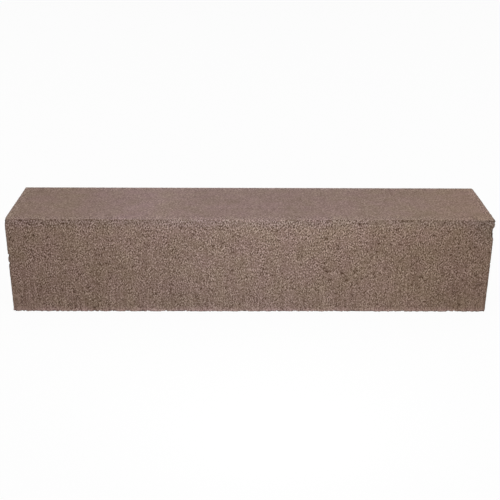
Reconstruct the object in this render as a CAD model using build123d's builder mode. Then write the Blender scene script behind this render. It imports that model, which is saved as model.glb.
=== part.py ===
from build123d import *
import os

# Concrete wall block: one solid piece, pressed from earth-moist concrete in a steel mould and
# laid in courses. Millimetres, +Z up, +X along the wall, origin at the centre of the bottom bed.

# Length along the wall
LENGTH = 600.0
# Depth through the wall
DEPTH = 120.0
# Height of one course
HEIGHT = 125.0
# Radius of the four upright corners, as the mould's corners leave them
CORNER_RADIUS = 2.0
# Radius of the rim of the top face, rounded over under the tamper head
ARRIS_RADIUS = 1.5
# Radius of the rim of the bottom bed, where the fresh block stood on its board
FOOT_RADIUS = 0.8

os.makedirs("parts", exist_ok=True)

with BuildPart() as wall_block:
    # The plan of the mould, raised to one course
    with BuildSketch(Plane.XY) as mould_plan:
        RectangleRounded(LENGTH, DEPTH, CORNER_RADIUS)
    extrude(amount=HEIGHT)

    # The rim of the top face, straight runs and corners in one chain
    top_face = wall_block.faces().sort_by(Axis.Z)[-1]
    fillet(top_face.edges(), ARRIS_RADIUS)

    # The rim of the bottom bed, only eased, so that the block stands on nearly its whole plan
    bottom_bed = wall_block.faces().sort_by(Axis.Z)[0]
    fillet(bottom_bed.edges(), FOOT_RADIUS)

wall_block.part.label = "wall_block"
export_step(wall_block.part, "parts/wall_block.step")
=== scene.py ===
import math

import bmesh
import bpy
import numpy as np
from mathutils import Euler, Matrix, Vector, noise


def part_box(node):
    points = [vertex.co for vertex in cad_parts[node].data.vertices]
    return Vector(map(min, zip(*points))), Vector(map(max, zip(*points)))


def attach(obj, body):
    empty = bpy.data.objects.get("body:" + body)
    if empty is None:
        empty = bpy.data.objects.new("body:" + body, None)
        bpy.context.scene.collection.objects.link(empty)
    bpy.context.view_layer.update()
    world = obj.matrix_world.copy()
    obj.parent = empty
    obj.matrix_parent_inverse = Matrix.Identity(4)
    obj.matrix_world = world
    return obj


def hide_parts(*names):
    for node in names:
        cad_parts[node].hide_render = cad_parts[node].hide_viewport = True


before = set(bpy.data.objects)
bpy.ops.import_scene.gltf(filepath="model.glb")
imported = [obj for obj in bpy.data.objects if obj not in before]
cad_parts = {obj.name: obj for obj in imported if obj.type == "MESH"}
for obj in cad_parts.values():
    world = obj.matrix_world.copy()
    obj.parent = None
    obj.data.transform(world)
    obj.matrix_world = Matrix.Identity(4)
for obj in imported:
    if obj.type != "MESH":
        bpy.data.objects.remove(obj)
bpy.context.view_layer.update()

# The block as the mould leaves it: one piece of earth-moist concrete, vibrated and pressed in a
# steel box. The mould rounds its upright corners, the tamper rolls over its top rim, and its foot
# rim is only eased, where the fresh block stood on its board.
low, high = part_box("wall_block")
length, depth, height = high - low
corner_radius = 0.0020
arris_radius = 0.0015
foot_radius = 0.0008
rounding_steps = 3
round_profile = 0.5
hair = 1e-6
mesh_size = 0.0010
sheet_angle = math.radians(66)
sheet_margin = 0.004

bpy.ops.object.select_all(action="DESELECT")
bpy.ops.mesh.primitive_cube_add(size=1, location=(low + high) / 2, scale=(length, depth, height))
block = bpy.context.active_object
block.name = "concrete_block"
bpy.ops.object.transform_apply(location=True, rotation=True, scale=True)


def round_edges(is_wanted, radius):
    """Rounds each edge of the block whose two ends are as wanted."""
    bpy.ops.object.mode_set(mode="EDIT")
    bpy.ops.mesh.select_mode(type="EDGE")
    bpy.ops.mesh.select_all(action="DESELECT")
    mesh = bmesh.from_edit_mesh(block.data)
    for edge in mesh.edges:
        start, end = (vertex.co for vertex in edge.verts)
        edge.select_set(is_wanted(start, end))
    bmesh.update_edit_mesh(block.data)
    bpy.ops.mesh.bevel(offset=radius, segments=rounding_steps, profile=round_profile, affect="EDGES")
    bpy.ops.object.mode_set(mode="OBJECT")


round_edges(lambda start, end: (start - end).xy.length < hair, corner_radius)
round_edges(lambda start, end: min(start.z, end.z) > high.z - hair, arris_radius)
round_edges(lambda start, end: max(start.z, end.z) < low.z + hair, foot_radius)


def set_in_mesh(kind, **settings):
    """Adds a modifier with these settings to the block and applies it."""
    modifier = block.modifiers.new(kind.lower(), kind)
    for setting, value in settings.items():
        setattr(modifier, setting, value)
    bpy.context.view_layer.objects.active = block
    bpy.ops.object.modifier_apply(modifier=modifier.name)


# A fine even mesh over the whole block, and a flat sheet for each face to bake its finish on
set_in_mesh("REMESH", mode="VOXEL", voxel_size=mesh_size)
block.data.uv_layers.new(name="OFBake")
bpy.ops.object.mode_set(mode="EDIT")
bpy.ops.mesh.select_all(action="SELECT")
bpy.ops.uv.smart_project(angle_limit=sheet_angle, island_margin=sheet_margin)
bpy.ops.object.mode_set(mode="OBJECT")

# The pressed skin: under the tamper the top closes to a smooth skin, rich in cement. It turns over
# the rim and ends just below it, at a line that wanders along the block and dips near its middle,
# where it also fades out more softly. The top is a little worn along its rim.
skin_drop = 0.0003
skin_wander = 0.0008
wander_size = 0.006
wander_seed = 3.0
skin_fade = 0.0003
middle_fade = 0.0010
middle_stretch = (0.06, 0.15)
skin_dips = (
    # Place along the block, half width and depth of each dip
    (-0.039, 0.006, 0.0025),
    (-0.006, 0.013, 0.0035),
    (0.034, 0.007, 0.0020),
    (0.075, 0.007, 0.0030),
)
rim_band = 0.012
worn_strip = (0.003, 0.016)


def read_points(what):
    """Three numbers for each of the block's points, such as its place or its normal."""
    values = np.empty(len(block.data.vertices) * 3, np.float32)
    block.data.vertices.foreach_get(what, values)
    return values.reshape(-1, 3)


def ease(start, end, value):
    """0 up to start and 1 from end on, with a smooth rise between them."""
    share = np.clip((value - start) / (end - start), 0.0, 1.0)
    return share * share * (3.0 - 2.0 * share)


def wander(places, size, seed):
    """A smooth random number from about -1 to 1 for each place, with swells of this size."""
    shift = Vector((seed, -seed, 2 * seed))
    return np.array([noise.noise(Vector(place) / size + shift) for place in places])


def mark(name, weight, least=0.01):
    """Keeps a weight for each of the block's points as a vertex group."""
    group = block.vertex_groups.new(name=name)
    for index in np.flatnonzero(weight > least):
        group.add([int(index)], float(weight[index]), "REPLACE")


def relief(name, weights, grain, inward, outward, steps=1, ramp=None, guide=None):
    """Moves the skin in and out by a cloudy texture of this grain, as far as the weights say."""
    texture = bpy.data.textures.new(name, "CLOUDS")
    texture.noise_scale = grain
    texture.noise_depth = steps
    if ramp:
        texture.use_color_ramp = True
        for element, position, tone in zip(texture.color_ramp.elements, ramp, (0, 1)):
            element.position = position
            element.color = (tone, tone, tone, 1)
    reach = inward + outward
    settings = dict(texture=texture, vertex_group=weights, strength=reach, mid_level=inward / reach)
    if guide:
        settings.update(texture_coords="OBJECT", texture_coords_object=guide)
    else:
        settings.update(texture_coords="LOCAL")
    set_in_mesh("DISPLACE", **settings)
    bpy.data.textures.remove(texture)


cast_place = read_points("co")
cast_normal = read_points("normal")
along, through, above = cast_place.T
upright = np.hypot(cast_normal[:, 0], cast_normal[:, 1])
drop = high.z - above
near_rim = np.flatnonzero(drop < rim_band)
near_middle = 1.0 - ease(*middle_stretch, np.abs(along[near_rim]))
skin_end = np.full(len(drop), skin_drop)
skin_end[near_rim] += skin_wander * wander(cast_place[near_rim], wander_size, wander_seed)
for dip_along, half_width, dip in skin_dips:
    skin_end += dip * np.exp(-((along - dip_along) / half_width) ** 2)
soft_end = np.full(len(drop), skin_fade)
soft_end[near_rim] += middle_fade * near_middle
pressed = 1.0 - ease(skin_end - soft_end, skin_end + soft_end, drop)
to_side = np.minimum(length / 2 - np.abs(along), depth / 2 - np.abs(through))
flat_top = ease(arris_radius / 2, 2 * arris_radius, to_side) * (drop < arris_radius / 4)
pressed = np.maximum(pressed, flat_top)
worn = 1.0 - ease(*worn_strip, to_side)
mark("pressed", pressed)
mark("worn_skin", worn * worn * pressed)
relief("sand_skin", "pressed", grain=0.004, inward=0.00008, outward=0.00008, steps=2)
relief("worn_rim", "worn_skin", grain=0.003, inward=0.00025, outward=0.00010)

# The open sides: stripping the mould upwards drags the damp concrete, so the sides stay open, with
# sand grains, small pores, fine upright drag lines and slow waves from the mould's plates.
drag_stretch = 16
open_side = (1.0 - pressed) * np.sqrt(upright)
mark("open_side", open_side)
bpy.ops.object.empty_add(scale=(1, 1, drag_stretch))
drag_guide = bpy.context.active_object
relief("mould_waves", "open_side", grain=0.08, inward=0.00025, outward=0.00025)
relief("lumps", "open_side", grain=0.010, inward=0.00012, outward=0.00010, steps=2)
relief("grains", "open_side", grain=0.0030, inward=0.00012, outward=0.00008)
relief("drag_lines", "open_side", grain=0.0030, inward=0.00010, outward=0.00008, guide=drag_guide)
relief("pores", "open_side", grain=0.0034, inward=0.0009, outward=0.0, ramp=(0.20, 0.34))
bpy.data.objects.remove(drag_guide)

# The rim, the foot and the knocks: green concrete crumbles under the end of the pressed skin, apart
# from a stretch near the middle where it stays whole. It slumps a little just above the board and
# breaks off raggedly there, and handling has flaked the front corners.
crumbs_start = (0.0, 0.0005)
crumbs_end = (0.0008, 0.0018)
whole_middle = -0.02
whole_stretch = (0.04, 0.11)
foot_edge = (0.0008, 0.0028)
slump_rise = (0.0005, 0.0065)
squeezed_rise = (0.0006, 0.0032)
front_right = Vector((high.x, low.y, high.z))
front_left = Vector((low.x, low.y, high.z))
knocks = (
    # Corner, drop below it, reach along, through and up, and share of the full depth
    (front_right, 0.0175, (0.0050, 0.0090, 0.0090), 0.9),
    (front_right, 0.0040, (0.0025, 0.0060, 0.0012), 0.5),
    (front_left, 0.0020, (0.0040, 0.0070, 0.0060), 0.4),
    (front_left, 0.0488, (0.0040, 0.0080, 0.0024), 0.9),
    (front_left, 0.0592, (0.0040, 0.0080, 0.0024), 0.9),
)
knock_slope = (0.5, 1.0)

under_skin = drop - skin_end
skin_step = ease(*crumbs_start, under_skin) * (1.0 - ease(*crumbs_end, under_skin))
undercut = skin_step * ease(*whole_stretch, np.abs(along - whole_middle)) * upright
above_foot = above - low.z
foot = 1.0 - ease(*foot_edge, np.hypot(to_side, above_foot))
slump = upright * (1.0 - ease(*slump_rise, above_foot))
squeezed_out = upright * (1.0 - ease(*squeezed_rise, above_foot))
knocked = np.zeros(len(drop))
for corner, corner_drop, reach, share in knocks:
    middle = corner - Vector((0, 0, corner_drop))
    away = np.linalg.norm((cast_place - np.array(middle)) / np.array(reach), axis=1)
    knocked = np.maximum(knocked, share * (1.0 - ease(*knock_slope, away)))
mark("undercut", undercut)
mark("slump", slump)
mark("squeezed_out", squeezed_out)
mark("foot", foot)
mark("knocked", knocked)
relief("crumbs", "undercut", grain=0.004, inward=0.0010, outward=0.0, steps=2, ramp=(0.35, 0.60))
relief("slump", "slump", grain=0.030, inward=0.0, outward=0.0004)
relief("squeezed_out", "squeezed_out", grain=0.0045, inward=0.0, outward=0.0011, ramp=(0.38, 0.62))
relief("ragged_foot", "foot", grain=0.0030, inward=0.0018, outward=0.0, steps=2, ramp=(0.28, 0.46))
relief("flakes", "knocked", grain=0.003, inward=0.0040, outward=0.0, steps=2)

# Nothing reaches below the bed. The concrete's look needs how far each point sank, which darkens pits
# and notches with painted shade, how worn the skin is there, which also places a painted highlight on
# the lip, and how near it is to the foot's two ends, where the mould smeared the sides.
mm_per_metre = 1000
below_lip = (0.0010, 0.0025)
lip_shelter = 0.7
smeared_reach = (0.010, 0.050)
place = read_points("co")
place[:, 2] = np.maximum(place[:, 2], low.z)
block.data.vertices.foreach_set("co", place.ravel())
sunk = mm_per_metre * ((cast_place - place) * cast_normal).sum(axis=1)
block.vertex_groups.clear()


def keep(name, values, kind="FLOAT"):
    """Keeps a number or a place for each of the block's points, for the concrete to read."""
    attribute = block.data.attributes.new(name, kind, "POINT")
    slot = "vector" if kind == "FLOAT_VECTOR" else "value"
    attribute.data.foreach_set(slot, values.astype(np.float32).ravel())


to_foot_corner = np.hypot(length / 2 - np.abs(along), above_foot)
keep("cast_place", cast_place, "FLOAT_VECTOR")
keep("sunk_mm", sunk)
keep("pressed", pressed)
keep("worn", worn * (1.0 - lip_shelter * ease(*below_lip, drop)))
keep("smeared", 1.0 - ease(*smeared_reach, to_foot_corner))

most_triangles = 196_000
set_in_mesh("DECIMATE", ratio=most_triangles / (2 * len(block.data.polygons)))
bpy.ops.object.select_all(action="DESELECT")
block.select_set(True)
bpy.ops.object.shade_smooth()

# The concrete: brown-tinted cement with sharp sand. The colour is in the mix, so it goes all
# through, and the pressed top is a little pinker and closer than the open sides.
concrete = bpy.data.materials.new("brown_concrete")
concrete.use_nodes = True
concrete.node_tree.nodes.clear()


def grow(kind, inputs, **settings):
    """Adds a node to the concrete, with its settings made and its inputs linked or set."""
    node = concrete.node_tree.nodes.new(kind)
    for setting, value in settings.items():
        setattr(node, setting, value)
    for name, value in inputs.items():
        if isinstance(value, bpy.types.NodeSocket):
            concrete.node_tree.links.new(value, node.inputs[name])
        else:
            node.inputs[name].default_value = value
    return node


def kept(name, output="Fac"):
    """A number or a place that was kept for each point of the block."""
    return grow("ShaderNodeAttribute", {}, attribute_name=name).outputs[output]


def span(value, start, end, first, last):
    """A value moved from one range to another, held at its ends."""
    inputs = {"Value": value, "From Min": start, "From Max": end, "To Min": first, "To Max": last}
    return grow("ShaderNodeMapRange", inputs).outputs["Result"]


def rise(value, start, end):
    """0 up to start and 1 from end on."""
    return span(value, start, end, 0, 1)


def fall(value, start, end):
    """1 up to start and 0 from end on."""
    return span(value, start, end, 1, 0)


def maths(operation, *values):
    """One sum on one, two or three values."""
    return grow("ShaderNodeMath", dict(enumerate(values)), operation=operation).outputs[0]


def together(first, *others):
    """Shares multiplied together."""
    total = first
    for other in others:
        total = maths("MULTIPLY", total, other)
    return total


def add_up(base, *layers):
    """A base value with layers added to it, each times its strength."""
    total = base
    for layer, strength in layers:
        total = maths("MULTIPLY_ADD", layer, strength, total)
    return total


def mixed(share, first, second, way="MIX"):
    """Two colours mixed this way, to this share of the second."""
    inputs = {0: share, 6: first, 7: second}
    return grow("ShaderNodeMix", inputs, data_type="RGBA", blend_type=way).outputs[2]


def drawn_out(vector, stretch, turn=(0, 0, 0)):
    """Places on the block pressed together upwards, so that a pattern on them is drawn out."""
    inputs = {"Vector": vector, "Scale": (1, 1, 1 / stretch), "Rotation": turn}
    return grow("ShaderNodeMapping", inputs).outputs["Vector"]


def cloud(vector, size):
    """Cloudy noise about zero, with lumps of this size."""
    inputs = {"Vector": vector, "Scale": 1 / size, "Detail": 0.0}
    return maths("SUBTRACT", grow("ShaderNodeTexNoise", inputs).outputs["Fac"], 0.5)


def shades(tone, dark, body, pale):
    """The colour for a tone, from dark at 0 through body at a half to pale at 1."""
    node = grow("ShaderNodeValToRGB", {"Fac": tone})
    elements = node.color_ramp.elements
    elements[0].color = (*dark, 1)
    elements[1].color = (*pale, 1)
    elements.new(0.5).color = (*body, 1)
    return node.outputs["Color"]


on_block = kept("cast_place", "Vector")
x_place, y_place, z_place = grow("ShaderNodeSeparateXYZ", {"Vector": on_block}).outputs
from_middle = maths("ABSOLUTE", x_place)
below_top = maths("SUBTRACT", height, z_place)
sunk_mm = kept("sunk_mm")
wear_and_lip_light = kept("worn")
is_pressed = rise(kept("pressed"), 0.4, 0.8)
is_open = maths("SUBTRACT", 1.0, is_pressed)


def far_from(middle):
    """How far along the block a point lies from this place."""
    return maths("ABSOLUTE", maths("SUBTRACT", x_place, middle))


# The cement between the grains is noise that goes evenly into the depth and the length, so that each
# side lies where it has no slow waves. Each grain of sand has one tone of its own.
cement_stretch = 1.8
cement_turn = 0.5
cement_strength = 2.0
grain_size = 0.0005
grain_stretch = 2.2
grain_strength = 0.50
on_end = maths("GREATER_THAN", from_middle, length / 2 - corner_radius / 2)
long_cement = cloud(drawn_out(on_block, cement_stretch, (0, cement_turn, 0)), size=depth / 100)
end_cement = cloud(drawn_out(on_block, cement_stretch, (cement_turn, 0, 0)), size=length / 500)
cement = grow("ShaderNodeMix", {0: on_end, 2: long_cement, 3: end_cement}).outputs[0]
inputs = {"Vector": drawn_out(on_block, grain_stretch), "Scale": 1 / grain_size}
grains = grow("ShaderNodeTexVoronoi", inputs)
grain_tone = grow("ShaderNodeSeparateColor", {"Color": grains.outputs["Color"]}).outputs["Red"]
sand = add_up(-grain_strength / 2, (cement, cement_strength), (grain_tone, grain_strength))
grit = cloud(on_block, size=0.0035)
clumps = cloud(on_block, size=0.009)
streaks = cloud(drawn_out(on_block, drag_stretch), size=0.0011)
skin_grit = cloud(on_block, size=0.0022)
mottle = cloud(on_block, size=0.035)

# The sides: the sand shows in patches, most of all high up right of the middle, and least at the foot
# and its smeared ends. Painted shade darkens the pits and sunken places, the crumbled line under the
# skin and the very foot. The band just above the foot is pinker and paler, its paleness partly painted
# light. The drag lines show best low down.
side_body = 0.491
rough_middle = 0.075
patches = span(cloud(on_block, size=0.008), -0.25, 0.25, 0.65, 1.35)
rough_patch = together(fall(far_from(rough_middle), 0.05, 0.11), rise(z_place, 0.090, 0.115))
# The band above the foot is pinker and less sandy, and its paler tone is partly painted light
lit_foot_band = fall(z_place, 0.002, 0.0075)
foot_shade = fall(z_place, 0.0006, 0.0020)
upper_side = rise(z_place, 0.086, 0.104)
lower_side = fall(z_place, 0.010, 0.030)
sharpness = together(span(kept("smeared"), 0, 1, 1.0, 0.6), add_up(1.0, (lit_foot_band, -0.22)))
sand_strength = together(span(z_place, 0, height, 0.81, 0.95), sharpness)
sand_strength = together(sand_strength, add_up(patches, (rough_patch, 0.2)))
streak_strength = span(z_place, 0.02, 0.09, 0.45, 0.15)
# Painted shade: the deeper a point sank, the darker it is painted, and darkest of all in the pits
pit_shade = rise(sunk_mm, 0.40, 0.90)
# Painted shade: a dark line of crumbs just under the pressed skin, where the rim shades them
crumbled_rim_shade = together(
    rise(below_top, 0.0002, 0.0006),
    fall(below_top, 0.0012, 0.0018),
    rise(cloud(on_block, size=0.004), -0.10, 0.20),
    rise(far_from(whole_middle), *whole_stretch),
)
side_tone = add_up(
    side_body,
    (sand, sand_strength),
    (grit, 0.03),
    (clumps, 0.10),
    (mottle, 0.08),
    (upper_side, 0.026),
    (lower_side, 0.030),
    (streaks, streak_strength),
    (lit_foot_band, 0.16),
    (foot_shade, -0.24),
    # Painted shade in the sunken places and pits
    (sunk_mm, -0.10),
    (pit_shade, -0.28),
    (crumbled_rim_shade, -0.34),
)
side_colour = shades(
    side_tone,
    dark=(0.077, 0.043, 0.028),
    body=(0.218, 0.149, 0.118),
    pale=(0.446, 0.339, 0.290),
)

# The top: its skin hides the sand, apart from where it is worn towards the rim. It is a little paler at
# the lip, with a painted highlight where the rim turns over, and in a patch left of the middle. It is a
# little darker at the left, and at the end rims with painted shade where they turn away from the light.
top_body = 0.5
pale_middle = -0.116
sand_on_top = span(wear_and_lip_light, 0, 1, 0.2, 1.05)
# Painted highlight along the lip, where the rim turns over towards the lamps
lip_highlight = rise(wear_and_lip_light, 0.85, 1.0)
pale_patch = fall(far_from(pale_middle), 0.01, 0.05)
left_end = fall(x_place, -0.28, -0.17)
# Painted shade on the rims at both ends of the top, where they turn away from the light
end_rim_shade = rise(from_middle, length / 2 - 0.003, length / 2 - 0.001)
top_tone = add_up(
    top_body,
    (skin_grit, 0.64),
    (sand, sand_on_top),
    (lip_highlight, 0.04),
    (clumps, 0.15),
    (mottle, 0.08),
    (pale_patch, 0.06),
    (left_end, -0.05),
    (end_rim_shade, -0.10),
)
top_colour = shades(
    top_tone,
    dark=(0.090, 0.052, 0.043),
    body=(0.237, 0.163, 0.140),
    pale=(0.463, 0.348, 0.315),
)

# Ochre comes up towards the right end and, a little, towards the left one. A lilac bloom lies on the
# top left of the middle, the sides are greyer just below the rim and in the upper right corner of the
# front, and the foot is pinker. All over, the stain of the mix drifts a little between pink and olive.
bloom_middle = -0.162
drift = cloud(on_block, size=0.022)
grey_corner = together(
    is_open,
    rise(x_place, 0.262, 0.285),
    rise(z_place, 0.085, 0.110),
    fall(y_place, -0.045, -0.015),
)
stains = (
    # Share of the tint at each point, and the tint
    (rise(x_place, 0.03, 0.20), (1.0, 1.0, 0.936)),
    (fall(x_place, -0.18, -0.08), (1.0, 1.0, 0.968)),
    (together(is_open, rise(from_middle, 0.08, 0.28)), (1.04, 1.0, 0.99)),
    (together(is_pressed, rise(from_middle, 0.17, 0.24)), (1.0, 1.0, 0.965)),
    (together(is_pressed, rise(x_place, 0.22, 0.28)), (1.025, 1.0, 0.99)),
    (together(is_pressed, fall(far_from(bloom_middle), 0.03, 0.055)), (1.01, 1.0, 1.05)),
    (grey_corner, (0.965, 1.0, 1.05)),
    (together(is_open, rise(z_place, 0.112, 0.121)), (0.98, 1.0, 1.06)),
    (lit_foot_band, (1.03, 0.985, 1.05)),
    (rise(drift, 0, 0.25), (1.02, 1.0, 1.045)),
    (fall(drift, -0.25, 0), (0.98, 1.0, 0.955)),
)
colour = mixed(is_pressed, side_colour, top_colour)
for tint_share, tint in stains:
    colour = mixed(tint_share, colour, (*tint, 1), "MULTIPLY")

# The finest sand is bump, and the whole surface is matt
fine_height = add_up(0.0, (sand, 1.0), (grit, 0.5))
fine_relief = grow("ShaderNodeBump", {"Height": fine_height, "Distance": 0.0003, "Strength": 0.35})
inputs = {"Base Color": colour, "Roughness": 0.9, "Specular IOR Level": 0.15}
inputs["Normal"] = fine_relief.outputs["Normal"]
finish = grow("ShaderNodeBsdfPrincipled", inputs)
grow("ShaderNodeOutputMaterial", {"Surface": finish.outputs["BSDF"]})
block.data.materials.append(concrete)

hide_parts("wall_block")
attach(block, "root")

# The studio: a pale paper floor that reads as white to the camera but keeps the block's shadow,
# an even white surround, a cloth ceiling and a small soft lamp close to the front.
white = (1, 1, 1, 1)
floor_size = 30
floor_gap = 0.0003
paper_grey = (0.7, 0.7, 0.7, 1)
paper_whiteness = 0.955
surround_fill = 0.40
surround_white = 0.97


def white_to_camera(tree, lit, shown, output, share=1.0):
    """Shows the camera, mirrors and glass one shader, to this share, while light falls on another."""
    rays = tree.nodes.new("ShaderNodeLightPath")
    seen = rays.outputs["Is Camera Ray"]
    for ray in ("Is Glossy Ray", "Is Transmission Ray"):
        either = tree.nodes.new("ShaderNodeMath")
        either.operation = "MAXIMUM"
        tree.links.new(seen, either.inputs[0])
        tree.links.new(rays.outputs[ray], either.inputs[1])
        seen = either.outputs[0]
    shown_share = tree.nodes.new("ShaderNodeMath")
    shown_share.operation = "MULTIPLY"
    shown_share.inputs[1].default_value = share
    tree.links.new(seen, shown_share.inputs[0])
    blend = tree.nodes.new("ShaderNodeMixShader")
    tree.links.new(shown_share.outputs[0], blend.inputs["Fac"])
    tree.links.new(lit.outputs[0], blend.inputs[1])
    tree.links.new(shown.outputs[0], blend.inputs[2])
    out = tree.nodes.new(output)
    tree.links.new(blend.outputs[0], out.inputs["Surface"])


bpy.ops.mesh.primitive_plane_add(size=floor_size, location=(0, 0, low.z - floor_gap))
floor = bpy.context.active_object
floor.name = "floor"
paper = bpy.data.materials.new("pale_paper")
paper.use_nodes = True
nodes = paper.node_tree.nodes
nodes.clear()
matt = nodes.new("ShaderNodeBsdfDiffuse")
matt.inputs["Color"].default_value = paper_grey
glow = nodes.new("ShaderNodeEmission")
glow.inputs["Color"].default_value = white
white_to_camera(paper.node_tree, matt, glow, "ShaderNodeOutputMaterial", paper_whiteness)
floor.data.materials.append(paper)

surround = bpy.data.worlds.new("white_surround")
bpy.context.scene.world = surround
surround.use_nodes = True
nodes = surround.node_tree.nodes
nodes.clear()
fill = nodes.new("ShaderNodeBackground")
fill.inputs["Color"].default_value = white
fill.inputs["Strength"].default_value = surround_fill
backdrop = nodes.new("ShaderNodeBackground")
backdrop.inputs["Color"].default_value = white
backdrop.inputs["Strength"].default_value = surround_white
white_to_camera(surround.node_tree, fill, backdrop, "ShaderNodeOutputWorld")


def softbox(name, place, aim, size, power):
    """A lamp with a cloth front, pointed at a place on the block."""
    turn = (Vector(aim) - Vector(place)).to_track_quat("-Z", "Y").to_euler()
    bpy.ops.object.light_add(type="AREA", location=place, rotation=turn)
    lamp = bpy.context.active_object
    lamp.name = name
    lamp.data.shape = "RECTANGLE"
    lamp.data.size, lamp.data.size_y = size
    lamp.data.energy = power
    lamp.visible_camera = False


softbox("ceiling", place=(0, 0, 1.7), aim=(0, 0, 0), size=(3.0, 3.0), power=28)
softbox("front_lamp", place=(0.027, -0.40, 0.20), aim=(0.027, -0.06, 0.08), size=(0.14, 0.12), power=0.62)

# The camera stands in front of the block, a little above it, and looks down on it. The lens is
# given by its focal length in pixels of a 500 pixel wide picture.
picture_width = 500
focal_pixels = 893
sensor_width = 36.0
camera_place = (-0.0129, -1.0741, 0.5191)
pitch, yaw, roll = math.radians(23.17), math.radians(-0.70), math.radians(0.38)
bpy.ops.object.camera_add(location=camera_place)
camera = bpy.context.active_object
camera.data.sensor_width = sensor_width
camera.data.lens = focal_pixels * sensor_width / picture_width
level_view = Euler((math.pi / 2 - pitch, 0.0, yaw)).to_matrix()
camera.rotation_euler = (level_view @ Matrix.Rotation(roll, 3, "Z")).to_euler()
bpy.context.scene.camera = camera
bpy.context.scene.view_settings.view_transform = "Standard"
